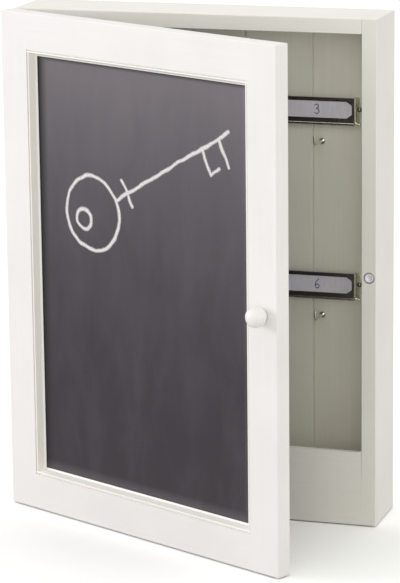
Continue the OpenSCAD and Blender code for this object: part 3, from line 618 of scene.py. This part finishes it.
def apronShape():
    radius, top = cabinet["cornerRadius"], cabinet["apron"]
    right = onArc((innerHalf - radius, top + radius), radius, 0, -90, 6)
    left = onArc((radius - innerHalf, top + radius), radius, -90, -180, 6)
    outline = [(-innerHalf, 0), (innerHalf, 0)] + right + left
    bm = extruded([(x, frontY, z) for x, z in outline], (0, cabinet["apronThickness"], 0))
    ease(bm, [e for e in bm.edges if all(abs(v.co.y - frontY) < 1e-4 and v.co.z > top - 1e-4 for v in e.verts)
              and abs(e.verts[0].co.x - e.verts[1].co.x) > 20], cabinet["openingEdge"])
    return bm


makePiece("apron_board", apronShape(), "cabinet", [paintLevel], ["front_apron"])


def groovedPanel():
    bottom, top = cabinet["board"], cabinet["height"] - cabinet["board"]
    half, depth, pitch = cabinet["grooveWidth"] / 2, cabinet["grooveDepth"], cabinet["groovePitch"]
    outline = [(-innerHalf, backY), (-innerHalf, panelY)]
    for x in (-1.5 * pitch, -0.5 * pitch, 0.5 * pitch, 1.5 * pitch):
        outline += [(x - half, panelY), (x, panelY + depth), (x + half, panelY)]
    outline += [(innerHalf, panelY), (innerHalf, backY)]
    bm = extruded([(x, y, bottom) for x, y in outline], (0, 0, top - bottom))
    lips = [
        e for e in bm.edges
        if all(abs(v.co.y - panelY) < 1e-4 and abs(v.co.x) < innerHalf - 1 for v in e.verts)
        and abs(e.verts[0].co.z - e.verts[1].co.z) > 100
    ]
    ease(bm, lips, cabinet["grooveEdge"])
    return bm


makePiece("beadboard_panel", groovedPanel(), "cabinet", [paintInside], ["back_panel"])
print("carcass made")


def rebatePocket():
    halfX = openingHalfX + door["rebate"]
    halfZ = openingHalfZ + door["rebate"]
    return boxShape((-halfX, chalkY, middleZ - halfZ), (halfX, doorBackY + 1, middleZ + halfZ))


knob = {
    "x": halfWidth - 10.8, "head": 11.5, "neck": 7.6, "neckHeight": 2.4, "neckGap": 0.35, "belt": 4.1,
    "dome": 4.5, "backEdge": 1.3, "screw": 3, "screwHead": 5,
}


def doorStile(side):
    low = Vector((openingHalfX if side > 0 else -halfWidth, doorFrontY, 0))
    high = low + Vector((door["frameWidth"], door["thickness"], cabinet["height"]))
    outer = "right" if side > 0 else "left"
    bm = easedBox(low, high, [
        (door["outerEdge"], [f"front {outer}", "front top", "front bottom", f"{outer} top", f"{outer} bottom"]),
        (door["backEdge"], [f"back {outer}", "back top", "back bottom"]),
    ])
    if side > 0:
        headDepth = (knob["screwHead"] - knob["screw"]) / 2
        place = Matrix.Translation((knob["x"], doorBackY, latchZ)) @ Matrix.Rotation(math.radians(90), 4, "X")
        screwRoom = turned([
            (0, headDepth + 8), (knob["screw"] / 2, headDepth + 8), (knob["screw"] / 2, headDepth),
            (knob["screwHead"] / 2, 0), (knob["screwHead"] / 2, -1), (0, -1),
        ], place, 32)
        tackRoom = rod((catch["x"], doorBackY - catch["tackHead"], latchZ), (catch["x"], doorBackY + 1, latchZ),
                       catch["tack"] / 2, 48)
        tools = [screwRoom, tackRoom]
    else:
        tools = hingeRoom(doorBackY + 1, -1 - hinge["leaf"])
    return combined(bm, [rebatePocket()] + tools, "DIFFERENCE")


def doorRail(end):
    low = Vector((-openingHalfX, doorFrontY, cabinet["height"] - door["frameWidth"] if end > 0 else 0))
    high = low + Vector((2 * openingHalfX, door["thickness"], door["frameWidth"]))
    outer = "top" if end > 0 else "bottom"
    bm = easedBox(low, high, [(door["outerEdge"], [f"front {outer}"]), (door["backEdge"], [f"back {outer}"])])
    return combined(bm, [rebatePocket()], "DIFFERENCE")


makePiece("left_stile", doorStile(-1), "door", [paintDoorUpright], ["door_stile_left"])
makePiece("right_stile", doorStile(1), "door", [paintDoorUpright], ["door_stile_right"])
makePiece("top_rail", doorRail(1), "door", [paintDoorLevel], ["door_rail_top"])
makePiece("bottom_rail", doorRail(-1), "door", [paintDoorLevel], ["door_rail_bottom"])


def mouldingSection():  # [distance from the frame, depth behind its face]: the lip stands clear of the board
    m, width, deep = moulding, moulding["width"], door["boardRecess"]
    bead = onArc((m["quirk"] + m["bead"], m["beadDepth"]), m["bead"], 180, 340, 10)
    lipFoot = deep - m["lipGap"]
    return [(0, deep), (0, m["quirkDepth"]), (m["quirk"], m["quirkDepth"])] + bead + [
        (width - m["lip"], deep - m["lipRise"]),
        (width - m["lip"] + m["lipRound"] / 3, deep - m["lipRise"] + m["lipStep"]),
        (width - m["lipRound"], lipFoot - 2 * m["lipRound"]), (width, lipFoot - m["lipRound"]),
        (width, lipFoot),
        (width - m["lip"] - m["lipGap"], lipFoot), (width - m["lip"] - 2 * m["lipGap"], deep),
    ]


def mouldingStrip(turn, reach, halfLength):
    outline = [(-halfLength, doorFrontY + depth, reach - away) for away, depth in mouldingSection()]
    bm = extruded(outline, (2 * halfLength, 0, 0))
    for side in (-1, 1):
        trim(bm, (side * halfLength, 0, reach), (side, 0, 1))
    bm.transform(Matrix.Translation((0, 0, middleZ)) @ Matrix.Rotation(math.radians(turn), 4, "Y"))
    return bm


for name, node, turn, reach, halfLength, grain in (
    ("top", "moulding_top", 0, openingHalfZ, openingHalfX, paintLitBeadLevel),
    ("bottom", "moulding_bottom", 180, openingHalfZ, openingHalfX, paintLitBeadLevel),
    ("right", "moulding_right", 90, openingHalfX, openingHalfZ, paintLitBeadUpright),
    ("left", "moulding_left", -90, openingHalfX, openingHalfZ, paintLitBeadUpright),
):
    strip = mouldingStrip(turn, reach, halfLength)
    makePiece(name + "_bead", strip, "door", [grain], [node], 25)


def chalkboardShape():
    halfX = openingHalfX + door["rebate"] - door["play"]
    halfZ = openingHalfZ + door["rebate"] - door["play"]
    low, high = (-halfX, chalkY, middleZ - halfZ), (halfX, chalkY + door["boardThickness"], middleZ + halfZ)
    bm = easedBox(low, high, [(door["boardEdge"], frontEdges)], 2)
    for face in bm.faces:
        face.material_index = 0 if face.normal.y < -0.5 else 1
    return bm


makePiece("slate_board", chalkboardShape(), "door", [chalkboardMaterial, hardboard],
          ["chalkboard"])


def knobShape():  # neck, round back edge and dome
    radius, neck, edge = knob["head"] / 2, knob["neck"] / 2, knob["backEdge"]
    low = knob["neckHeight"]
    domeLow = low + knob["belt"]
    back = onArc((radius - edge, low + edge), edge, -90, 0, 10)
    dome = [(radius * math.cos(math.radians(a)), domeLow + knob["dome"] * math.sin(math.radians(a)))
            for a in range(0, 90, 4)]
    gap = knob["neckGap"]  # the neck's hollow foot leaves a dark line round it
    foot = [(0, 0), (neck - 2 * gap, 0), (neck - 2 * gap, gap), (neck, gap), (neck, low)]
    section = foot + back + dome + [(0, domeLow + knob["dome"])]
    place = Matrix.Translation((knob["x"], doorFrontY, latchZ)) @ Matrix.Rotation(math.radians(90), 4, "X")
    return turned(section, place, 72)


makePiece("turned_knob", knobShape(), "door", [paintDoorLevel], ["knob"], 50)
print("door made")

catchPlace = Matrix.Translation((catch["x"], frontY, latchZ)) @ Matrix.Rotation(math.radians(-90), 4, "X")
cupRadius, cupInner, cupEdge = catch["cup"] / 2, catch["cup"] / 2 - catch["wall"], catch["cupEdge"]
magnetRadius, magnetEdge = catch["magnet"] / 2, catch["magnetEdge"]
magnetDepth = catch["depth"] - catch["floor"]
makePiece("catch_cup", turned([
    (0, catch["depth"]), (cupRadius, catch["depth"]), (cupRadius, cupEdge), (cupRadius - cupEdge, 0),
    (cupInner + cupEdge, 0), (cupInner, cupEdge), (cupInner, magnetDepth), (0, magnetDepth),
], catchPlace), "cabinet", [cupSteel], ["magnet_cup"])
makePiece("catch_magnet", turned([
    (0, catch["dishDepth"]), (catch["dishFloor"] / 2, catch["dishDepth"]), (catch["dish"] / 2, 0),
    (magnetRadius - magnetEdge, 0), (magnetRadius, magnetEdge),
    (magnetRadius, magnetDepth), (0, magnetDepth),
], catchPlace), "cabinet", [nickelPlate], ["magnet"])

hook = {
    "wire": 1.9, "reach": 17, "tilt": 2.5, "rise": 4.4, "bend": 1.8, "root": 3, "collar": 3.6,
    "collarThickness": 0.7, "collarEdge": 0.25, "margin": 33.9, "rows": (221.6, 116.6),
}


def bentWire(start, along, straight, turn, bend, rest, radius):  # straight, a quarter bend, a round tip
    start, along, turn = Vector(start), Vector(along), Vector(turn)
    bm = bmesh.new()
    place = Matrix.Translation(start) @ along.to_track_quat("Z", "Y").to_matrix().to_4x4()
    bmesh.ops.create_circle(bm, cap_ends=True, segments=24, radius=radius, matrix=place)
    pushed(bm, bm.faces[:][0], along * straight)
    tip = max(bm.faces[:], key=lambda f: f.calc_center_median().dot(along))
    bmesh.ops.spin(
        bm, geom=[tip, *tip.edges, *tip.verts], cent=start + along * straight + turn * bend,
        axis=along.cross(turn), angle=math.radians(90), steps=8, use_merge=False, use_duplicate=False,
    )
    bmesh.ops.remove_doubles(bm, verts=bm.verts[:], dist=1e-4)
    bmesh.ops.recalc_face_normals(bm, faces=bm.faces[:])
    tip = max(bm.faces[:], key=lambda f: f.normal.dot(turn) * 1000 + f.calc_center_median().dot(turn))
    pushed(bm, tip, turn * rest)
    end = max(vert.co.dot(turn) for vert in bm.verts)
    ease(bm, [e for e in bm.edges if all(v.co.dot(turn) > end - 1e-4 for v in e.verts)], radius * 0.92, 5)
    bmesh.ops.recalc_face_normals(bm, faces=bm.faces[:])
    return bm


def hookShape(x, z):  # the wire starts inside the collar and turns upwards
    radius, collarY = hook["wire"] / 2, panelY - hook["collarThickness"]
    start = Vector((x, panelY - hook["collarThickness"] / 2, z))
    straight = hook["reach"] - hook["collarThickness"] / 2 - hook["bend"]
    upright = hook["rise"] + radius - hook["bend"]
    bm = bentWire(start, (0, -1, 0), straight, (0, 0, 1), hook["bend"], upright, radius)
    bmesh.ops.rotate(bm, verts=bm.verts[:], cent=start,
                     matrix=Matrix.Rotation(-math.radians(hook["tilt"]), 3, "X"))
    collar = rod((x, panelY, z), (x, collarY, z), hook["collar"] / 2)
    ease(collar, [e for e in collar.edges if all(v.co.y < collarY + 0.1 for v in e.verts)],
         hook["collarEdge"], 2)
    thread = rod((x, panelY + hook["root"], z), tuple(start), radius, 24)
    bm = combined(bm, [collar, thread], "UNION")
    for face in bm.faces:
        centre = face.calc_center_median()
        if centre.y > collarY - 0.02 and math.hypot(centre.x - x, centre.z - z) > radius + 0.05:
            face.material_index = 1
    return bm


hookX = innerHalf - hook["margin"]
for row, z in enumerate(hook["rows"]):
    for column, x in enumerate((-hookX, 0, hookX)):
        number = 3 * row + column + 1
        makePiece(f"wire_hook_{number}", hookShape(x, z), "cabinet", [hookWire, plainSteel],
                  [f"key_hook_{number}"], 40)
print("hooks made")

label = {
    "faceWidth": 46, "faceHeight": 14.3, "standOff": 4, "sheet": 0.5, "margin": 9.2,
    "windowWidth": 42.4, "windowHeight": 9.9, "cutWidth": 3.2, "cutHeight": 2.2,
    "rim": 1.3, "rimBend": 2, "rimFoot": 3.4,
    "roll": 2.2, "ear": 4, "earBow": 2, "earLip": 2.2, "flange": 2, "slot": 0.6,
    "card": 0.4, "cardHeight": 13.4, "cardPlay": 0.6, "rows": (241.1, 136.1),
    "plateEdge": 0.15, "rollEdge": 0.25, "earEdge": 0.3, "cardEdge": 0.1,
}
labelX = innerHalf - label["margin"] - label["ear"] - label["faceWidth"] / 2


def labelRim(x, z, side):  # down the corner of the end wall, then outwards into a foot with a round tip
    halfW, halfH = label["faceWidth"] / 2, label["faceHeight"] / 2
    radius, bend = label["rim"] / 2, label["rimBend"]
    start = (x + side * halfW, panelY - label["standOff"] + radius, z + halfH)
    straight = 2 * halfH + label["roll"] / 2 - bend
    return bentWire(start, (0, 0, -1), straight, (side, 0, 0), bend, label["rimFoot"] - bend, radius)


def labelShape(x, z):
    halfW, halfH = label["faceWidth"] / 2, label["faceHeight"] / 2
    sheet, out = label["sheet"], label["standOff"]
    face, rim, roll = panelY - out, label["rim"], label["roll"]
    plateHalf = halfW - 0.3 * rim
    floorLow = z - halfH - sheet
    plate = easedBox((x - plateHalf, face, floorLow), (x + plateHalf, face + sheet, z + halfH),
                     [(label["plateEdge"], ["front top"])], 2)
    windowX, windowZ = label["windowWidth"] / 2, label["windowHeight"] / 2
    cutX, cutZ = windowX - label["cutWidth"], windowZ - label["cutHeight"]
    window = extruded([(x + px, face - 1, z + pz) for px, pz in (
        (windowX, cutZ), (cutX, windowZ), (-cutX, windowZ), (-windowX, cutZ),
        (-windowX, -cutZ), (-cutX, -windowZ), (cutX, -windowZ), (windowX, -cutZ),
    )], (0, 2.5, 0))
    bm = combined(plate, [window], "DIFFERENCE")
    behind = face + 2 * sheet + label["slot"]
    rollAt = (face + roll / 2, z - halfH - roll / 2)
    rollPart = rod((x - plateHalf, *rollAt), (x + plateHalf, *rollAt), roll / 2, 28)
    ease(rollPart, [e for e in rollPart.edges if abs(e.verts[0].co.x - e.verts[1].co.x) < 0.1],
         label["rollEdge"], 2)
    parts = [
        boxShape((x - plateHalf + 0.05, face + sheet / 2, floorLow + 0.02),
                 (x + plateHalf - 0.05, behind, z - halfH)),
        boxShape((x - halfW + sheet / 2, behind - sheet, floorLow + sheet / 2),
                 (x + halfW - sheet / 2, behind, z - halfH + label["flange"])),
        rollPart,
    ]
    earHeight = 2 * halfH + roll
    earRadius = (label["earBow"] ** 2 + (earHeight / 2) ** 2) / (2 * label["earBow"])
    earZ = z - halfH - roll + earHeight / 2
    for side in (-1, 1):
        wallX = sorted((x + side * (halfW - sheet), x + side * halfW))
        parts.append(boxShape((wallX[0], face + rim / 2, floorLow), (wallX[1], panelY, z + halfH)))
        parts.append(labelRim(x, z, side))
        earX = x + side * (halfW + label["ear"] - earRadius)
        ear = rod((earX, panelY, earZ), (earX, panelY - sheet, earZ), earRadius, 144)
        ease(ear, [e for e in ear.edges if all(v.co.y < panelY - sheet / 2 for v in e.verts)],
             label["earEdge"], 2)
        trim(ear, (x + side * (halfW - sheet / 2), 0, 0), (-side, 0, 0))
        trim(ear, (0, 0, earZ + earHeight / 2), (0, 0, 1))
        trim(ear, (0, 0, earZ - earHeight / 2), (0, 0, -1))
        bmesh.ops.bisect_plane(ear, geom=wholeMesh(ear), plane_co=(x + side * (halfW + label["earLip"]), 0, 0),
                               plane_no=(side, 0, 0))
        parts.append(ear)
    bm = combined(bm, parts, "UNION")
    bm.normal_update()
    for part in bm.faces:
        centre, normal = part.calc_center_median(), part.normal
        beyond = abs(centre.x - x) - halfW
        onRim = centre.y < face + rim + 0.01 and (beyond > 0 or (beyond > -rim / 2 and centre.z > floorLow))
        windowEdge = (beyond < -rim / 2 and abs(normal.y) < 0.3 and centre.y < face + sheet - 0.05
                      and abs(centre.z - z) < windowZ + 0.05)
        # the roll's upward faces take the bright tinplate and its downward faces the dark: a painted highlight
        # on the top of the roll
        litRollTop = centre.z < floorLow and centre.y < face + roll and beyond < 0 and normal.z > 0
        if onRim or windowEdge or litRollTop:
            part.material_index = 1
        elif beyond > -0.05:  # end walls and ears in the darker tinplate as painted shade, with the outer lip of each ear in the lighter one as a painted highlight
            part.material_index = 3 if centre.y > panelY - sheet - 0.05 and beyond > label["earLip"] else 2
    return bm


penStrokes = {  # numbers in a field 4 wide and 6 high
    1: [[(1.2, 4.7), (2.4, 6), (2.3, 3), (2.1, 0)]],
    2: [[(0.6, 4.7), (1.2, 5.7), (2.3, 6), (3.2, 5.2), (3, 3.9), (1.8, 2.1), (0.4, 0.2), (1.9, 0.4),
         (3.6, 0.1)]],
    3: [[(0.6, 5.4), (1.9, 6), (3, 5.3), (2.8, 4), (1.5, 3.3), (3, 2.8), (3.4, 1.4), (2.2, 0.1), (0.4, 0.6)]],
    4: [[(2, 6), (0.5, 2.4), (3.6, 2.2)], [(2.9, 4.2), (2.6, 0)]],
    5: [[(3.3, 6), (1.1, 5.8), (0.8, 3.4), (2.2, 3.7), (3.3, 2.5), (2.8, 0.8), (1.4, 0), (0.3, 0.5)]],
    6: [[(2.9, 6), (1.2, 4.2), (0.5, 2), (1.2, 0.3), (2.6, 0.2), (3.2, 1.6), (2.3, 2.8), (0.8, 2.1)]],
}
pen = {"scale": 0.95, "width": 0.5, "thickness": 0.1}


def writeNumber(bm, number, x, y, z):  # flat ink lines that lie on the card
    for stroke in penStrokes[number]:
        points = [Vector((x + (px - 2) * pen["scale"], y, z + (pz - 3) * pen["scale"])) for px, pz in stroke]
        for start, end in zip(points, points[1:]):
            along = end - start
            turn = Matrix.Rotation(-math.atan2(along.z, along.x), 4, "Y")
            size = Matrix.Diagonal((along.length + pen["width"] * 0.8, pen["thickness"], pen["width"], 1))
            made = bmesh.ops.create_cube(bm, size=1, matrix=Matrix.Translation((start + end) / 2) @ turn @ size)
            for face in {face for vert in made["verts"] for face in vert.link_faces}:
                face.material_index = 1


def cardShape(number, x, z):
    half = label["faceWidth"] / 2 - label["sheet"] - label["cardPlay"]
    y = panelY - label["standOff"] + label["sheet"] + (label["slot"] - label["card"]) / 2
    low = (x - half, y, z - label["faceHeight"] / 2)
    high = (x + half, y + label["card"], z - label["faceHeight"] / 2 + label["cardHeight"])
    bm = easedBox(low, high, [(label["cardEdge"], frontEdges)], 1)
    writeNumber(bm, number, x, y, z)
    return bm


for row, z in enumerate(label["rows"]):
    for column, x in enumerate((-labelX, 0, labelX)):
        number = 3 * row + column + 1
        makePiece(f"tin_holder_{number}", labelShape(x, z), "cabinet",
                  [blackSteel, wornAndHighlightSteel, shadedTinSteel, litEarLipSteel],
                  [f"label_holder_{number}"], 30)
        makePiece(f"name_card_{number}", cardShape(number, x, z), "cabinet", [cardPaper, ballpointInk],
                  [f"label_card_{number}"])
print("label holders made")

kept = {
    "carcass_brads": plainSteel, "label_nails": blackSteel, "hanger_left": zincSteel, "hanger_right": zincSteel,
    "hanger_screws": zincSteel, "hinge_upper_body_leaf": zincSteel, "hinge_lower_body_leaf": zincSteel,
    "hinge_upper_pin": zincSteel, "hinge_lower_pin": zincSteel, "hinge_body_screws": zincSteel,
    "hinge_upper_door_leaf": zincSteel, "hinge_lower_door_leaf": zincSteel, "hinge_door_screws": zincSteel,
    "door_dowels": beechWood, "board_points": plainSteel, "knob_screw": zincSteel, "strike_tack": plainSteel,
}
for name, material in kept.items():
    mesh = nodes[name].data
    mesh.materials.clear()
    mesh.materials.append(material)

studio = {
    "floor": "#d2d1d0", "floorDrop": 0.8, "floorRadius": 8000,
    "seen": 1.8,  # the camera sees the lit floor this much brighter, so that it meets the white backdrop
    "sky": 0.93, "skyColour": "#fdfffc",
}
lamps = {
    "left": {"at": (-2.43, -0.65, 0.82), "size": 1.2, "power": 20.5, "colour": "#f4efff"},
    "front": {"at": (0.66, -2.46, 0.69), "size": 1.2, "power": 6.4, "colour": "#fffae8"},
    "right": {"at": (2.47, -0.44, 0.82), "size": 1.2, "power": 5.4, "colour": "#f8f3ff"},
}


def studioFloor():  # seamless white paper
    material, tree = newMaterial("white paper floor")
    fibres = addNode(tree, "TexNoise", {"Scale": 1, "Detail": 2},
                     {"Vector": standing(tree, [3, 3, 3]).outputs[0]})
    roughness = addNode(tree, "MapRange", {"To Min": 0.85, "To Max": 0.95}, {"Value": fibres.outputs["Fac"]})
    paper = addNode(tree, "BsdfPrincipled", {"Base Color": linear(studio["floor"]), "Specular IOR Level": 0.1},
                    {"Roughness": roughness.outputs[0]})
    bright = tuple(part * studio["seen"] for part in linear(studio["floor"]))
    seenPaper = addNode(tree, "BsdfDiffuse", {"Color": bright})
    path = addNode(tree, "LightPath")
    lit = addNode(tree, "MixShader", None,
                  {0: path.outputs["Is Camera Ray"], 1: paper.outputs[0], 2: seenPaper.outputs[0]})
    addNode(tree, "OutputMaterial", None, {"Surface": lit.outputs[0]})
    return material


def makeStage():
    bm = bmesh.new()
    bmesh.ops.create_circle(bm, cap_ends=True, segments=64, radius=studio["floorRadius"],
                            matrix=Matrix.Translation((0, 0, -studio["floorDrop"])))
    bm.transform(Matrix.Scale(mm, 4))
    mesh = bpy.data.meshes.new("studio_floor")
    bm.to_mesh(mesh)
    bm.free()
    mesh.materials.append(studioFloor())
    floor = bpy.data.objects.new("studio_floor", mesh)
    bpy.context.scene.collection.objects.link(floor)

    world = bpy.data.worlds.new("white studio")
    bpy.context.scene.world = world
    world.use_nodes = True
    tree = world.node_tree
    tree.nodes.clear()
    path = addNode(tree, "LightPath")
    seen = addNode(tree, "Math", {"operation": "MAXIMUM"},
                   {0: path.outputs["Is Camera Ray"], 1: path.outputs["Is Glossy Ray"]})
    strength = addNode(tree, "MapRange", {"To Min": studio["sky"], "To Max": 1}, {"Value": seen.outputs[0]})
    colour = addNode(tree, "Mix", {"data_type": "RGBA", 6: linear(studio["skyColour"]), 7: (1, 1, 1, 1)},
                     {0: seen.outputs[0]})
    sky = addNode(tree, "Background", None, {"Color": colour.outputs[2], "Strength": strength.outputs[0]})
    addNode(tree, "OutputWorld", None, {"Surface": sky.outputs[0]})

    for name, look in lamps.items():
        lamp = bpy.data.lights.new(name, "AREA")
        lamp.shape = "DISK"
        lamp.size = look["size"]
        lamp.energy = look["power"]
        lamp.color = linear(look["colour"])[:3]
        light = bpy.data.objects.new(name, lamp)
        light.location = look["at"]
        toward = Vector((0, 0, 0.15)) - Vector(look["at"])
        light.rotation_euler = toward.to_track_quat("-Z", "Y").to_euler()
        bpy.context.scene.collection.objects.link(light)


makeStage()

view = {"target": (3.13, -21.25, 135.53), "distance": 1772.67, "yaw": 17.67, "pitch": 13.04, "roll": -0.64,
        "lens": 185.83}


def makeCamera():
    turn = (
        Matrix.Rotation(math.radians(view["yaw"]), 4, "Z")
        @ Matrix.Rotation(math.radians(90 - view["pitch"]), 4, "X")
        @ Matrix.Rotation(math.radians(view["roll"]), 4, "Z")
    )
    data = bpy.data.cameras.new("photo")
    data.lens = view["lens"]
    data.sensor_width = 36
    data.clip_start, data.clip_end = 0.05, 50
    camera = bpy.data.objects.new("photo", data)
    target = Vector(view["target"]) * mm
    camera.matrix_world = Matrix.Translation(target) @ turn @ Matrix.Translation((0, 0, view["distance"] * mm))
    bpy.context.scene.collection.objects.link(camera)
    bpy.context.scene.camera = camera


makeCamera()
bpy.context.scene.view_settings.view_transform = "Standard"
print("stage, lights and camera ready")
